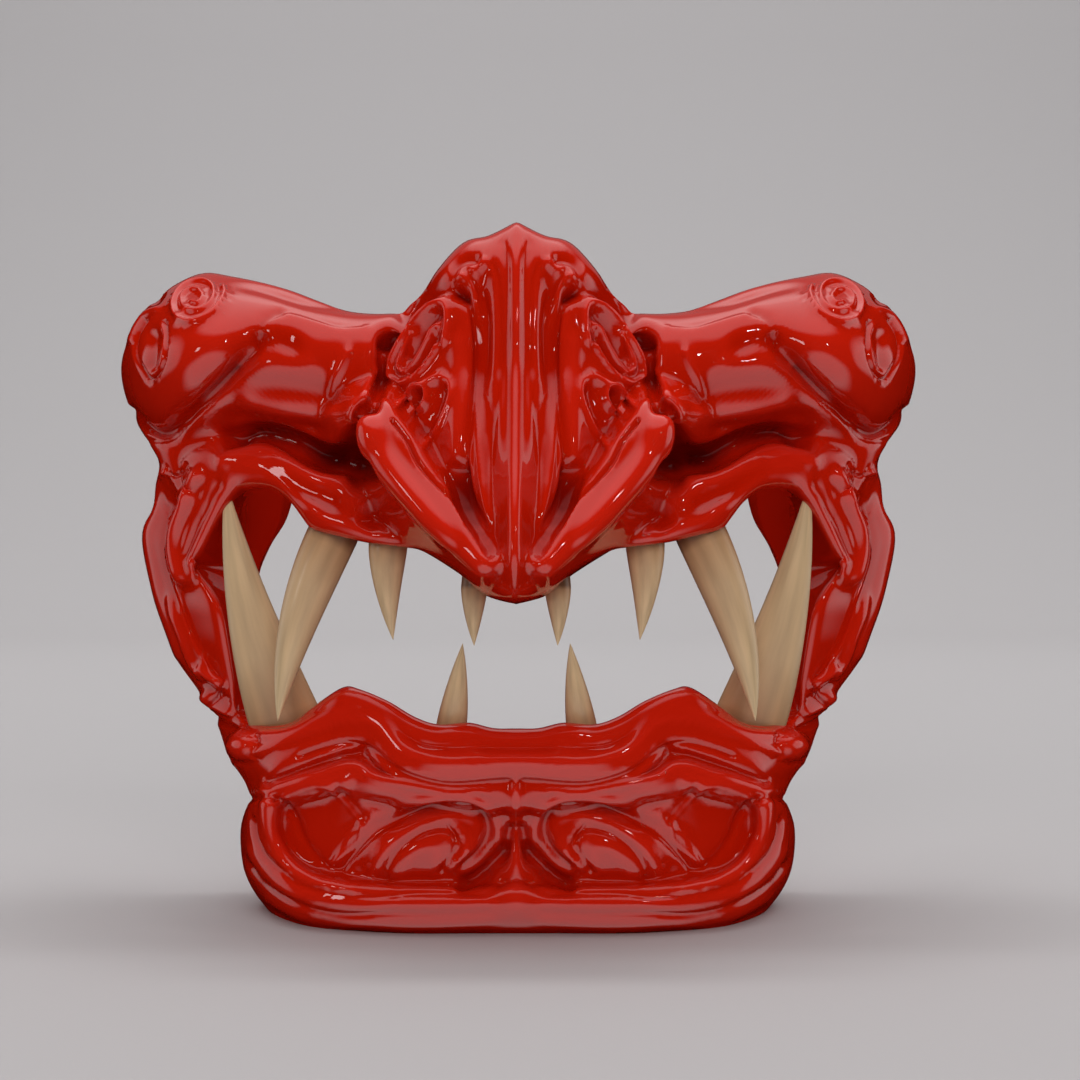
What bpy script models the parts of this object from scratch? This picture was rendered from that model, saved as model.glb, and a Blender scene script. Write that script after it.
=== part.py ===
"""Oni half mask: a one-piece lacquered shell with nose, cheeks, jaws and chin, and ten separate teeth.

The front is laid out as a drawing, seen along lines of sight that meet SIGHT in front of the cheeks.
Its units are hundredths of the half width across (x) and hundred-and-eightieths of the height up (z).
Depths (y) are in hundredths of DEPTH, and a smaller y is nearer the viewer. One side is drawn, and the
other is its mirror image. The wall is a thick ring round the mouth: STATIONS cut across it from the top
centre, round the side, to the bottom centre.
"""

import math

import bmesh
import bpy
import numpy as np

# Driving sizes, in metres
HALF_WIDTH = 0.090
HEIGHT = 0.161
DEPTH = 0.100
SIGHT = 0.441
NOSE_RISE = 0.030
NOSE_ROOM = 0.017
NOSE_ROOM_EDGE = 0.004
KNOB_RISE = 0.016
WALL = 0.005
LEAST_WALL = 0.0025
REAR_RIM = 0.0035
LIP_ROLL = 0.0035
FOOT_CUT = 0.0065
SOCKET_DEPTH = 0.0055
TOOTH_GAP = 0.0003
UPPER_FANG_BASE = 0.0108
LOWER_TUSK_BASE = 0.0160
OUTER_TOOTH_BASE = 0.0082
INNER_TOOTH_BASE = 0.0054
LOWER_TOOTH_BASE = 0.0064

# The drawing's units, and the height of the eye in it
ACROSS = HALF_WIDTH / 100
UP = HEIGHT / 180
BACK = DEPTH / 100
EYE = 99 * UP

# How softly one form runs into the next, in metres
ROLL_BLEND = 0.0012
KNOB_BLEND = 0.003
WALL_BLEND = 0.001

# The cheek knob: the line its middle lies on and its half width, in the drawing's units
KNOB_LINE = ((82, 148), (84, 146))
KNOB_HALF = 20

# Shares: how much lower the nose is at its sides, how wide its hollow is inside, and how steep and how
# round the rolls' flanks are
NOSE_SLOPE = 0.42
NOSE_HOLLOW = 0.62
ROLL_FLANK = 3
ROLL_CROWN = 0.8
CROWN_EDGE = 0.95
SIDE_TURN = 0.97

# Faces along and across the wall of one half of the shell
COLUMNS = 46
FRONT_ROWS = 30
REAR_ROWS = 7
ROOM_ROWS = 9
LIP_ROWS = 2
TOOTH_SIDES = 10
TOOTH_RINGS = 7

STATION_COLUMNS = (
    "mouth_x", "mouth_z", "outline_x", "outline_z", "roll", "rear_turn", "rear_z", "inner_turn", "inner_z"
)
STATIONS = (
    (0.0, 83.0, 0.0, 180.0, 6, 0, 172, 0, 84),
    (7.5, 85.0, 7.0, 176.5, 6, 6, 168, 6, 86),
    (14.0, 90.5, 14.5, 174.0, 6, 12, 165, 11, 91),
    (23.0, 96.0, 25.5, 161.0, 7, 20, 153, 19, 97),
    (28.5, 97.0, 30.5, 157.0, 8, 25, 149, 23, 99),
    (37.0, 98.0, 41.0, 157.0, 10, 33, 149, 30, 100),
    (46.0, 100.0, 49.0, 159.5, 12, 41, 151, 38, 102),
    (51.5, 101.5, 57.0, 162.5, 13, 50, 153, 43, 104),
    (54.0, 104.5, 64.5, 164.5, 15, 60, 154, 47, 107),
    (57.0, 108.5, 72.0, 166.0, 17, 71, 155, 51, 110),
    (61.0, 111.5, 79.0, 167.0, 19, 83, 153, 57, 112),
    (65.0, 112.0, 85.5, 164.5, 20, 95, 149, 63, 112),
    (68.5, 111.0, 92.0, 159.5, 20, 105, 145, 69, 111),
    (71.5, 108.5, 97.5, 151.5, 20, 112, 140, 75, 108),
    (74.0, 105.0, 100.0, 142.0, 20, 116, 133, 80, 104),
    (76.5, 100.5, 97.0, 130.5, 18, 118, 124, 85, 100),
    (78.5, 96.5, 90.5, 119.5, 14, 118, 115, 88, 96),
    (80.5, 93.0, 90.5, 108.0, 12, 115, 105, 90, 92),
    (79.0, 90.0, 94.0, 100.5, 14, 108, 97, 90, 88),
    (76.5, 86.5, 92.0, 88.0, 14, 101, 87, 88, 84),
    (74.0, 81.5, 89.5, 78.5, 14, 100, 78, 86, 79),
    (72.5, 74.0, 86.0, 69.0, 14, 100, 69, 84, 71),
    (71.0, 63.5, 80.0, 60.5, 14, 100, 60, 82, 61),
    (70.0, 55.0, 75.5, 52.0, 14, 101, 52, 79, 53),
    (64.5, 52.5, 72.9, 44.5, 12, 103, 44, 74, 50),
    (57.0, 53.0, 67.6, 35.5, 14, 104, 36, 64, 50),
    (51.5, 57.0, 69.8, 26.0, 18, 108, 18, 56, 54),
    (43.8, 62.2, 68.6, 14.5, 16, 108, 2, 47, 58),
    (39.3, 62.0, 62.3, 5.0, 12, 98, -4, 40, 58),
    (32.0, 59.0, 53.0, -2.0, 6, 75, -4, 32, 56),
    (25.5, 55.0, 41.0, -2.5, 3, 52, -4, 25, 52),
    (19.5, 53.0, 28.0, -2.5, 3, 33, -4, 19, 50),
    (12.0, 53.5, 16.0, -2.5, 3, 19, -4, 12, 50),
    (5.5, 52.0, 7.0, -2.5, 3, 8, -4, 6, 49),
    (0.0, 52.0, 0.0, -2.5, 3, 0, -4, 0, 49),
)

FACE_COLUMNS = ("z", "front", "bow", "power")
FACE = (
    (0, -33, 66, 3.5),
    (25, -34, 66, 3.4),
    (40, -36, 60, 2.8),
    (52, -34, 54, 2.2),
    (84, -36, 46, 2.2),
    (100, -32, 42, 2.2),
    (120, -27, 30, 2.2),
    (145, -22, 17, 2.2),
    (180, -26, 25, 2.2),
)

ROOM_COLUMNS = ("z", "half_width", "middle", "front", "rear")
ROOM = (
    (0, 57, 4, 31, 45),
    (30, 59, 5, 31, 48),
    (50, 66, 8, 33, 62),
    (90, 77, 11, 38, 78),
    (120, 77, 13, 37, 82),
    (150, 76, 14, 36, 82),
    (180, 76, 14, 30, 82),
)

NOSE_COLUMNS = ("z", "half_width", "rise", "room")
NOSE = (
    (70, 5, 0, 0),
    (78, 5, 38, 0),
    (86, 9, 80, 55),
    (94, 12, 100, 80),
    (104, 17, 100, 95),
    (114, 23, 92, 100),
    (127, 30, 80, 95),
    (137, 33, 70, 85),
    (148, 31, 60, 75),
    (160, 27, 48, 50),
    (169, 21, 36, 20),
    (174, 15, 26, 5),
    (180, 8, 14, 0),
)

# Rolls stand on the face like rounded dams: width and rise at both ends, and the middle line
ROLL_COLUMNS = ("name", "width", "end_width", "rise", "end_rise", "line")
ROLLS = (
    ("nostril_wing", 6.6, 4.4, 24, 28, ((36.5, 130), (30.5, 123), (21.5, 110), (13, 100), (7.5, 94))),
    ("cheek_beam", 13.0, 17.0, 9, 10, ((31, 144), (43, 143), (57, 144), (71, 147), (83, 146))),
    ("upper_lip", 5.0, 5.5, 5, 4, ((10, 89), (20, 94), (31, 97), (46, 103), (54, 109), (62, 116), (71, 117),
                                  (77, 110), (80, 99))),
    ("lip_body", 7.0, 6.0, 4, 4, ((43, 109), (56, 117), (68, 120), (79, 117))),
    ("side_tongue", 3.0, 2.0, 4, 3, ((83, 109), (84.5, 99), (83, 90))),
    ("side_flap", 4.0, 3.5, 4, 4, ((92, 104), (92, 94), (88, 81), (84, 71), (78, 62))),
    ("lower_gum", 4.6, 4.6, 4, 3, ((66, 48), (54, 50), (49, 55), (42, 58), (34, 57), (25, 52), (10, 50), (0, 49))),
    ("lower_lip", 5.6, 5.2, 5, 4.5, ((66, 43), (57, 46), (49, 49), (43, 51), (36, 51), (30, 45), (24, 42), (16, 41),
                                   (6, 41), (0, 41))),
    ("chin_fold", 3.4, 3.2, 4, 4, ((60, 35), (49, 38), (41, 40), (35, 37), (20, 35), (8, 34), (0, 34))),
    ("chin_roll", 6.5, 6.0, 7, 5, ((66, 32), (66, 23), (62, 15), (55, 10), (46, 8), (30, 6), (12, 6), (0, 6))),
    ("chin_swirl", 9.0, 9.0, 3, 3, ((17, 22), (31, 20))),
)

# Grooves are cut into the face: width and depth at both ends, and the middle line
GROOVE_COLUMNS = ("name", "width", "end_width", "depth", "end_depth", "line")
GROOVES = (
    ("cheek_cave", 3.2, 3.0, 9, 7, ((39, 117), (46, 118.5), (54, 121), (63, 124.5), (71, 124.5))),
    ("nose_crease", 2.5, 3.0, 3, 6, ((32, 150), (34, 138), (39, 130), (41, 124), (39, 118))),
    ("knob_crease", 2.2, 2.2, 2, 4, ((65, 149), (70, 143), (78, 135), (85, 130), (89, 127), (97, 131))),
    ("brow_flute", 1.8, 2.4, 2, 2, ((8, 166), (8, 140), (6, 118), (4, 98))),
    ("chin_middle", 2.2, 2.2, 3, 2, ((4, 20), (8, 14), (12, 12))),
)

TOOTH_COLUMNS = (
    "name", "base", "flatness", "taper", "seat", "seat_depth", "bend_x", "bend_z", "bend_y", "tip_x", "tip_z",
    "tip_y"
)
TEETH = (
    ("upper_inner_tooth", INNER_TOOTH_BASE, 0.9, 1.6, 1.45, 0.45, 10.8, 80, -37, 10.5, 72.5, -38),
    ("upper_outer_tooth", OUTER_TOOTH_BASE, 0.8, 1.6, 4.45, 0.45, 33, 87, -27, 31.0, 74.0, -28),
    ("upper_fang", UPPER_FANG_BASE, 0.75, 2.0, 6.05, 0.45, 57.5, 77, -24, 60.0, 53.5, -26),
    ("lower_tusk", LOWER_TUSK_BASE, 0.6, 1.35, 24.75, 0.5, 70.0, 84, -12, 73.4, 114.0, -12),
    ("lower_tooth", LOWER_TOOTH_BASE, 0.9, 1.9, 31.45, 0.42, 15.0, 61, -30, 13.5, 73.0, -29),
)


def table(rows, names):
    """The number columns of a table, by name."""
    return {name: np.array([row[i] for row in rows], float) for i, name in enumerate(names)}


def through(values, at):
    """Smooth values through a column's rows, read at row numbers that need not be whole."""
    last = len(values) - 1
    low = np.clip(np.floor(at).astype(int), 0, last - 1)
    share = at - low
    before, after = values[np.maximum(low - 1, 0)], values[np.minimum(low + 2, last)]
    a, b = values[low], values[low + 1]
    return 0.5 * (
        2 * a
        + (b - before) * share
        + (2 * before - 5 * a + 4 * b - after) * share**2
        + (3 * (a - b) + after - before) * share**3
    )


def by_height(columns, name, z):
    return np.interp(z, columns["z"], columns[name])


def smooth_line(points, steps=5):
    points = np.array(points, float)
    at = np.linspace(0, len(points) - 1, (len(points) - 1) * steps + 1)
    return np.stack([through(points[:, 0], at), through(points[:, 1], at)], axis=1)


def along(x, z, line):
    """Each point's distance from a line, and how far along the line it lies, from 0 to 1."""
    starts, ends = line[:-1], line[1:]
    best = np.full(x.shape, 1e9)
    share = np.zeros(x.shape)
    for i, (start, end) in enumerate(zip(starts, ends)):
        run = end - start
        t = ((x - start[0]) * run[0] + (z - start[1]) * run[1]) / max(run @ run, 1e-12)
        t = np.clip(t, 0, 1)
        distance = np.hypot(x - start[0] - t * run[0], z - start[1] - t * run[1])
        nearer = distance < best
        best = np.where(nearer, distance, best)
        share = np.where(nearer, (i + t) / len(starts), share)
    return best, share


def larger(a, b, blend):
    return 0.5 * (a + b + np.sqrt((a - b) ** 2 + blend**2))


STATION = table(STATIONS, STATION_COLUMNS)
FACE_ROWS = table(FACE, FACE_COLUMNS)
ROOM_SHAPE = table(ROOM, ROOM_COLUMNS)
NOSE_SHAPE = table(NOSE, NOSE_COLUMNS)


def sight(x, y, z):
    """A place in the drawing, at depth y, moved along its line of sight to where it really is."""
    spread = 1 + y / SIGHT
    return np.stack([x * spread, y, EYE + (z - EYE) * spread], axis=-1)


def room_sizes(z):
    """Half width, middle, front reach and rear reach of the room for the wearer's face, at real height z."""
    up = z / UP
    return (
        by_height(ROOM_SHAPE, "half_width", up) * ACROSS - WALL,
        by_height(ROOM_SHAPE, "middle", up) * BACK,
        by_height(ROOM_SHAPE, "front", up) * BACK - WALL,
        by_height(ROOM_SHAPE, "rear", up) * BACK,
    )


def room(turn, z):
    """The face side of the wall, turned round from the front, with the hollow of the nose."""
    half, middle, front, rear = room_sizes(z)
    x = half * np.sin(turn)
    y = middle - np.where(turn < math.pi / 2, front, rear) * np.cos(turn)
    up = z / UP
    width = NOSE_HOLLOW * by_height(NOSE_SHAPE, "half_width", up) * ACROSS
    hollow = NOSE_ROOM * by_height(NOSE_SHAPE, "room", up) / 100
    y = y - hollow * np.clip(1 - (x / np.maximum(width, NOSE_ROOM_EDGE)) ** 2, 0, 1) ** 1.5
    return np.stack([x, y, z], axis=-1)


def roll_rise(x, z):
    """How far the modelled forms stand out from the face, in metres, at a place in drawing units."""
    half = by_height(NOSE_SHAPE, "half_width", z)
    share = np.clip(x / half, 0, 1)
    crest = NOSE_RISE * by_height(NOSE_SHAPE, "rise", z) / 100
    rise = crest * (1 - NOSE_SLOPE * share) * (1 - share**5) ** 0.6
    for row in ROLLS:
        roll = dict(zip(ROLL_COLUMNS, row))
        distance, run = along(x, z, smooth_line(roll["line"]))
        wide = roll["width"] + (roll["end_width"] - roll["width"]) * run
        high = (roll["rise"] + (roll["end_rise"] - roll["rise"]) * run) * BACK
        if roll["name"] == "nostril_wing":
            high *= NOSE_RISE / (30 * BACK)
        past = np.clip(distance / wide, 0, 1)
        crown = wide * ACROSS * (1 - np.sqrt(1 - past**2))
        flank = ROLL_FLANK * ACROSS * np.maximum(distance - CROWN_EDGE * wide, 0)
        rise = larger(rise, high - ROLL_CROWN * crown - flank, ROLL_BLEND)
    distance, _ = along(x, z, np.array(KNOB_LINE, float))
    dome = KNOB_RISE * (1 - (distance / KNOB_HALF) ** 2)
    rise = larger(rise, dome, KNOB_BLEND)
    for row in GROOVES:
        groove = dict(zip(GROOVE_COLUMNS, row))
        distance, run = along(x, z, smooth_line(groove["line"]))
        wide = groove["width"] + (groove["end_width"] - groove["width"]) * run
        deep = (groove["depth"] + (groove["end_depth"] - groove["depth"]) * run) * BACK
        rise = rise - deep * np.exp(-((distance / wide) ** 2))
    return rise


def front(station, share):
    """The outer side of the wall in front, from the mouth's edge (share 0) to the outline (share 1)."""
    mouth_x, mouth_z = through(STATION["mouth_x"], station), through(STATION["mouth_z"], station)
    out_x, out_z = through(STATION["outline_x"], station), through(STATION["outline_z"], station)
    x = mouth_x + (out_x - mouth_x) * share
    z = mouth_z + (out_z - mouth_z) * share
    reach = np.hypot((out_x - mouth_x) * ACROSS, (out_z - mouth_z) * UP)
    sheet = by_height(FACE_ROWS, "front", z) * BACK
    sheet = sheet + by_height(FACE_ROWS, "bow", z) * BACK * (x / 100) ** by_height(FACE_ROWS, "power", z)
    y = sheet - roll_rise(x, z)
    roll = through(STATION["roll"], station) * BACK
    inside = np.clip(1 - (1 - share) * reach / roll, 0, 1)
    y = y + roll * (1 - np.sqrt(1 - inside**2))
    near = np.clip(1 - share * reach / LIP_ROLL, 0, 1)
    y = y + LIP_ROLL * (1 - np.sqrt(1 - near**2))
    level = EYE + (z * UP - EYE) * (1 + y / SIGHT)
    half, middle, ahead, _ = room_sizes(level)
    across = np.clip(x * ACROSS * (1 + y / SIGHT) / half, 0, 1)
    behind = room(np.arcsin(across), level)[..., 1] - LEAST_WALL
    y = np.where(across < SIDE_TURN, -larger(-y, -behind, WALL_BLEND), y)
    return sight(x * ACROSS, y, z * UP)


def rear_rim(station):
    turn = np.radians(through(STATION["rear_turn"], station))
    z = through(STATION["rear_z"], station) * UP
    inner = room(turn, z)
    step = 1e-3
    tangent = room(turn + step, z) - room(turn - step, z)
    tangent /= np.linalg.norm(tangent, axis=-1, keepdims=True)
    outward = np.stack([tangent[..., 1], -tangent[..., 0], 0 * turn], axis=-1)
    return inner, inner + REAR_RIM * outward, tangent, turn


def rear(station, share):
    """The outer side behind the outline: it turns back from it and runs to the rear rim."""
    start = front(station, np.ones_like(share))
    _, end, tangent, turn = rear_rim(station)
    gap = np.linalg.norm(end - start, axis=-1, keepdims=True)
    roll = (through(STATION["roll"], station) * BACK)[..., None]
    wall = np.clip((turn - math.radians(60)) / math.radians(40), 0, 1)[..., None]
    lead = -tangent * wall * 0.45 + np.array([0, 0, 1]) * (1 - wall) * 0.3
    back = start + np.array([0, 1, 0]) * np.minimum(0.55 * roll, 0.5 * gap)
    ahead = end + lead * gap
    t = share[..., None]
    return (
        start * (1 - t) ** 3 + 3 * back * t * (1 - t) ** 2 + 3 * ahead * t**2 * (1 - t) + end * t**3
    )


def inside(station, share):
    """The face side, from the rear rim (share 0) to the mouth (share 1)."""
    turn = np.radians(through(STATION["rear_turn"], station))
    turn = turn + (np.radians(through(STATION["inner_turn"], station)) - turn) * share
    z = through(STATION["rear_z"], station)
    z = z + (through(STATION["inner_z"], station) - z) * share
    return room(turn, z * UP)


def spaced(weights, count):
    """Places from 0 to 1 that share out each row of weights in equal parts."""
    total = np.concatenate([np.zeros((len(weights), 1)), np.cumsum(weights, axis=1)], axis=1)
    total /= total[:, -1:]
    grid = np.linspace(0, 1, total.shape[1])
    wanted = np.linspace(0, 1, count + 1)
    return np.stack([np.interp(wanted, row, grid) for row in total])


def eased(values, axis, reach):
    """Values averaged with their neighbours along one axis."""
    for _ in range(reach):
        values = np.pad(values, [(1, 1) if k == axis else (0, 0) for k in range(values.ndim)], "edge")
        values = 0.25 * (np.take(values, range(0, values.shape[axis] - 2), axis)
                         + np.take(values, range(2, values.shape[axis]), axis)) \
            + 0.5 * np.take(values, range(1, values.shape[axis] - 1), axis)
    return values


def even_patch():
    """Stations and shares over the front at which its faces are of like size."""
    last = len(STATIONS) - 1
    fine = 160
    station, share = np.meshgrid(np.linspace(0, last, fine + 1), np.linspace(0, 1, fine + 1), indexing="ij")
    points = front(station, share)
    around = np.linalg.norm(np.diff(points, axis=0), axis=-1).mean(axis=1)
    stations = last * spaced(eased(around[None], 1, 6), COLUMNS)[0]
    station, share = np.meshgrid(stations, np.linspace(0, 1, fine + 1), indexing="ij")
    steps = np.linalg.norm(np.diff(front(station, share), axis=1), axis=-1)
    steps = eased(eased(steps, 1, 8), 0, 4)
    shares = spaced(steps + 0.3 * steps.mean(axis=1, keepdims=True), FRONT_ROWS)
    return stations[:, None] + 0 * shares, shares


def shell_points():
    """The closed ring's points: columns from the top centre to the bottom centre, rows round the wall."""
    station, share = even_patch()
    rows = [front(station, share)]
    ends = station[:, :1]
    blank = np.zeros((1, 1))
    steps = np.linspace(0, 1, REAR_ROWS + 1)[1:]
    rows.append(rear(ends + 0 * steps, blank + steps + 0 * ends))
    steps = np.linspace(0, 1, ROOM_ROWS + 1)
    rows.append(inside(ends + 0 * steps, blank + steps + 0 * ends))
    mouth_in, mouth_out = rows[-1][:, -1], rows[0][:, 0]
    for i in range(1, LIP_ROWS + 1):
        t = i / (LIP_ROWS + 1)
        rows.append((mouth_in + (mouth_out - mouth_in) * t)[:, None])
    points = np.concatenate(rows, axis=1)
    points[0, :, 0] = 0
    points[-1, :, 0] = 0
    return points


def make_shell(points):
    """A grid of faces takes the points, is closed round the wall, mirrored, and cut flat at the foot."""
    columns, rows = points.shape[:2]
    mesh = bmesh.new()
    bmesh.ops.create_grid(mesh, x_segments=columns - 1, y_segments=rows, size=1)
    for vert in mesh.verts:
        i = round((vert.co.x + 1) / 2 * (columns - 1))
        j = round((vert.co.y + 1) / 2 * rows)
        vert.co = points[i, j % rows]
    bmesh.ops.remove_doubles(mesh, verts=mesh.verts, dist=1e-6)
    bmesh.ops.mirror(mesh, geom=mesh.verts[:] + mesh.edges[:] + mesh.faces[:], axis="X", merge_dist=1e-6)
    bmesh.ops.bisect_plane(
        mesh, geom=mesh.verts[:] + mesh.edges[:] + mesh.faces[:], plane_co=(0, 0, FOOT_CUT),
        plane_no=(0, 0, 1), clear_inner=True,
    )
    rim = [edge for edge in mesh.edges if edge.is_boundary]
    bmesh.ops.holes_fill(mesh, edges=rim, sides=0)
    bmesh.ops.recalc_face_normals(mesh, faces=mesh.faces)
    return mesh


def tooth_rings(row, grow=0.0):
    """Rings along one tooth: centres, half widths and half depths, from the root in its socket to the tip."""
    tooth = dict(zip(TOOTH_COLUMNS, row))
    station = np.array([[tooth["seat"]]])
    edge = front(station, np.zeros((1, 1)))[0, 0]
    inner = inside(station, np.ones((1, 1)))[0, 0]
    mouth = edge + (inner - edge) * tooth["seat_depth"]
    bend = sight(tooth["bend_x"] * ACROSS, np.float64(tooth["bend_y"] * BACK), tooth["bend_z"] * UP)
    tip = sight(tooth["tip_x"] * ACROSS, np.float64(tooth["tip_y"] * BACK), tooth["tip_z"] * UP)
    lead = (bend - mouth) / np.linalg.norm(bend - mouth)
    root = mouth - lead * (SOCKET_DEPTH + grow)
    rings = [(root, 0.46 * tooth["base"] + grow)]
    for i in range(TOOTH_RINGS + 1):
        t = i / TOOTH_RINGS
        centre = mouth * (1 - t) ** 2 + 2 * bend * t * (1 - t) + tip * t**2
        rings.append((centre, 0.5 * tooth["base"] * (1 - 0.97 * t ** tooth["taper"]) + grow))
    return rings, tooth["flatness"]


def make_tooth(row, grow=0.0):
    rings, flatness = tooth_rings(row, grow)
    centres = np.array([centre for centre, _ in rings])
    mesh = bmesh.new()
    circle = bmesh.ops.create_circle(mesh, segments=TOOTH_SIDES, radius=1, cap_ends=True)["verts"]
    unit = [vert.co.copy() for vert in circle]
    runs = np.gradient(centres, axis=0)
    loop = circle
    face = mesh.faces[:][0]
    for k, (centre, radius) in enumerate(rings):
        if k:
            made = bmesh.ops.extrude_discrete_faces(mesh, faces=[face])
            face = made["faces"][0]
            loop = list(face.verts)
        run = runs[k] / np.linalg.norm(runs[k])
        side = np.cross(run, (0, 1, 0))
        side /= np.linalg.norm(side)
        deep = np.cross(side, run)
        for vert, spot in zip(loop, unit):
            vert.co = centre + radius * (spot.x * side + spot.y * flatness * deep)
    bmesh.ops.holes_fill(mesh, edges=[edge for edge in mesh.edges if edge.is_boundary], sides=0)
    bmesh.ops.recalc_face_normals(mesh, faces=mesh.faces)
    return mesh


def material(name, colour, roughness, coat):
    made = bpy.data.materials.new(name)
    made.use_nodes = True
    shader = made.node_tree.nodes["Principled BSDF"]
    shader.inputs["Base Color"].default_value = (*colour, 1)
    shader.inputs["Roughness"].default_value = roughness
    shader.inputs["Coat Weight"].default_value = coat
    return made


def add(name, mesh, finish, origin):
    """A piece with its finish, or a cutter without one, placed from the mask's origin."""
    data = bpy.data.meshes.new(name)
    mesh.to_mesh(data)
    mesh.free()
    obj = bpy.data.objects.new(name, data)
    obj.parent = origin
    bpy.context.scene.collection.objects.link(obj)
    if finish:
        data.materials.append(finish)
        data.shade_smooth()
    else:
        obj.hide_render = True
        obj.display_type = "WIRE"
    return obj


def mirrored(mesh):
    for vert in mesh.verts:
        vert.co.x = -vert.co.x
    bmesh.ops.reverse_faces(mesh, faces=mesh.faces)
    return mesh


def main():
    for obj in list(bpy.data.objects):
        bpy.data.objects.remove(obj)
    lacquer = material("red_lacquer", (0.42, 0.004, 0.002), 0.18, 1.0)
    ivory = material("ivory_paint", (0.48, 0.33, 0.17), 0.4, 0.2)
    points = shell_points()
    depths = points[..., 1]
    origin = bpy.data.objects.new("mask_origin", None)
    origin.location = (0, -(depths.min() + depths.max()) / 2, -FOOT_CUT)
    bpy.context.scene.collection.objects.link(origin)
    shell = add("face_shell", make_shell(points), lacquer, origin)
    for row in TEETH:
        for side in ("right", "left"):
            turn = mirrored if side == "left" else (lambda mesh: mesh)
            add(f"{row[0]}_{side}", turn(make_tooth(row)), ivory, origin)
            cutter = add(f"{row[0]}_{side}_socket", turn(make_tooth(row, TOOTH_GAP)), None, origin)
            cut = shell.modifiers.new(cutter.name, "BOOLEAN")
            cut.operation = "DIFFERENCE"
            cut.solver = "EXACT"
            cut.object = cutter


main()
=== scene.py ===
"""A lacquered oni half mask with ivory teeth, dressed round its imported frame."""

import math

import bmesh
import bpy
import numpy as np
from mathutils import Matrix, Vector, noise


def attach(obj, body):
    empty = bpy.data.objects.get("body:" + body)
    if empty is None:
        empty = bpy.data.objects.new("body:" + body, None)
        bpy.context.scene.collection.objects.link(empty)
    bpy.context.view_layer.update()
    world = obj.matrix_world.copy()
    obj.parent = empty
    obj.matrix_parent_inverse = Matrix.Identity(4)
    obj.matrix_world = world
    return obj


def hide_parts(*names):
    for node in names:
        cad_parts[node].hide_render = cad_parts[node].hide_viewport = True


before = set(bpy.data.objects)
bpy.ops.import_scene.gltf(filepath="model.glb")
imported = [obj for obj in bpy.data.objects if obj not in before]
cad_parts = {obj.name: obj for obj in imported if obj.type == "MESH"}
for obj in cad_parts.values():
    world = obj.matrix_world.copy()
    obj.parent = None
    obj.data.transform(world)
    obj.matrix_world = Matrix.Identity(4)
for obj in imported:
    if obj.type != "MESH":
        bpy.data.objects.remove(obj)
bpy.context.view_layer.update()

# The red shell: one piece of carved and lacquered wood, with nose, cheek knobs, gums, side flaps and chin.
# It was hollowed from behind for the wearer's face, its mouth was cut through, and the lacquer was
# polished to a high gloss.
half_width = 0.090
height = 0.161
depth = 0.100
sight_length = 0.441
nose_rise = 0.030
nose_room = 0.017
nose_room_edge = 0.004
knob_rise = 0.016
wall = 0.005
least_wall = 0.0025
rear_rim_width = 0.0035
lip_roll = 0.0035
foot_cut = 0.0065
shell_back = 0.005547
roll_blend = 0.0012
knob_blend = 0.003
wall_blend = 0.001
knob_line = ((82, 148), (84, 146))
knob_half = 20
nose_slope = 0.42
nose_hollow = 0.62
roll_flank = 3
roll_crown = 0.8
crown_edge = 0.95
side_turn = 0.97

# Units of the drawing: hundredths of the half width across, 180ths of the height up and hundredths of the
# depth back. It is drawn along lines of sight, which meet sight_length in front of the mask at eye_level.
across = half_width / 100
up = height / 180
back = depth / 100
eye_level = 99 * up

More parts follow.
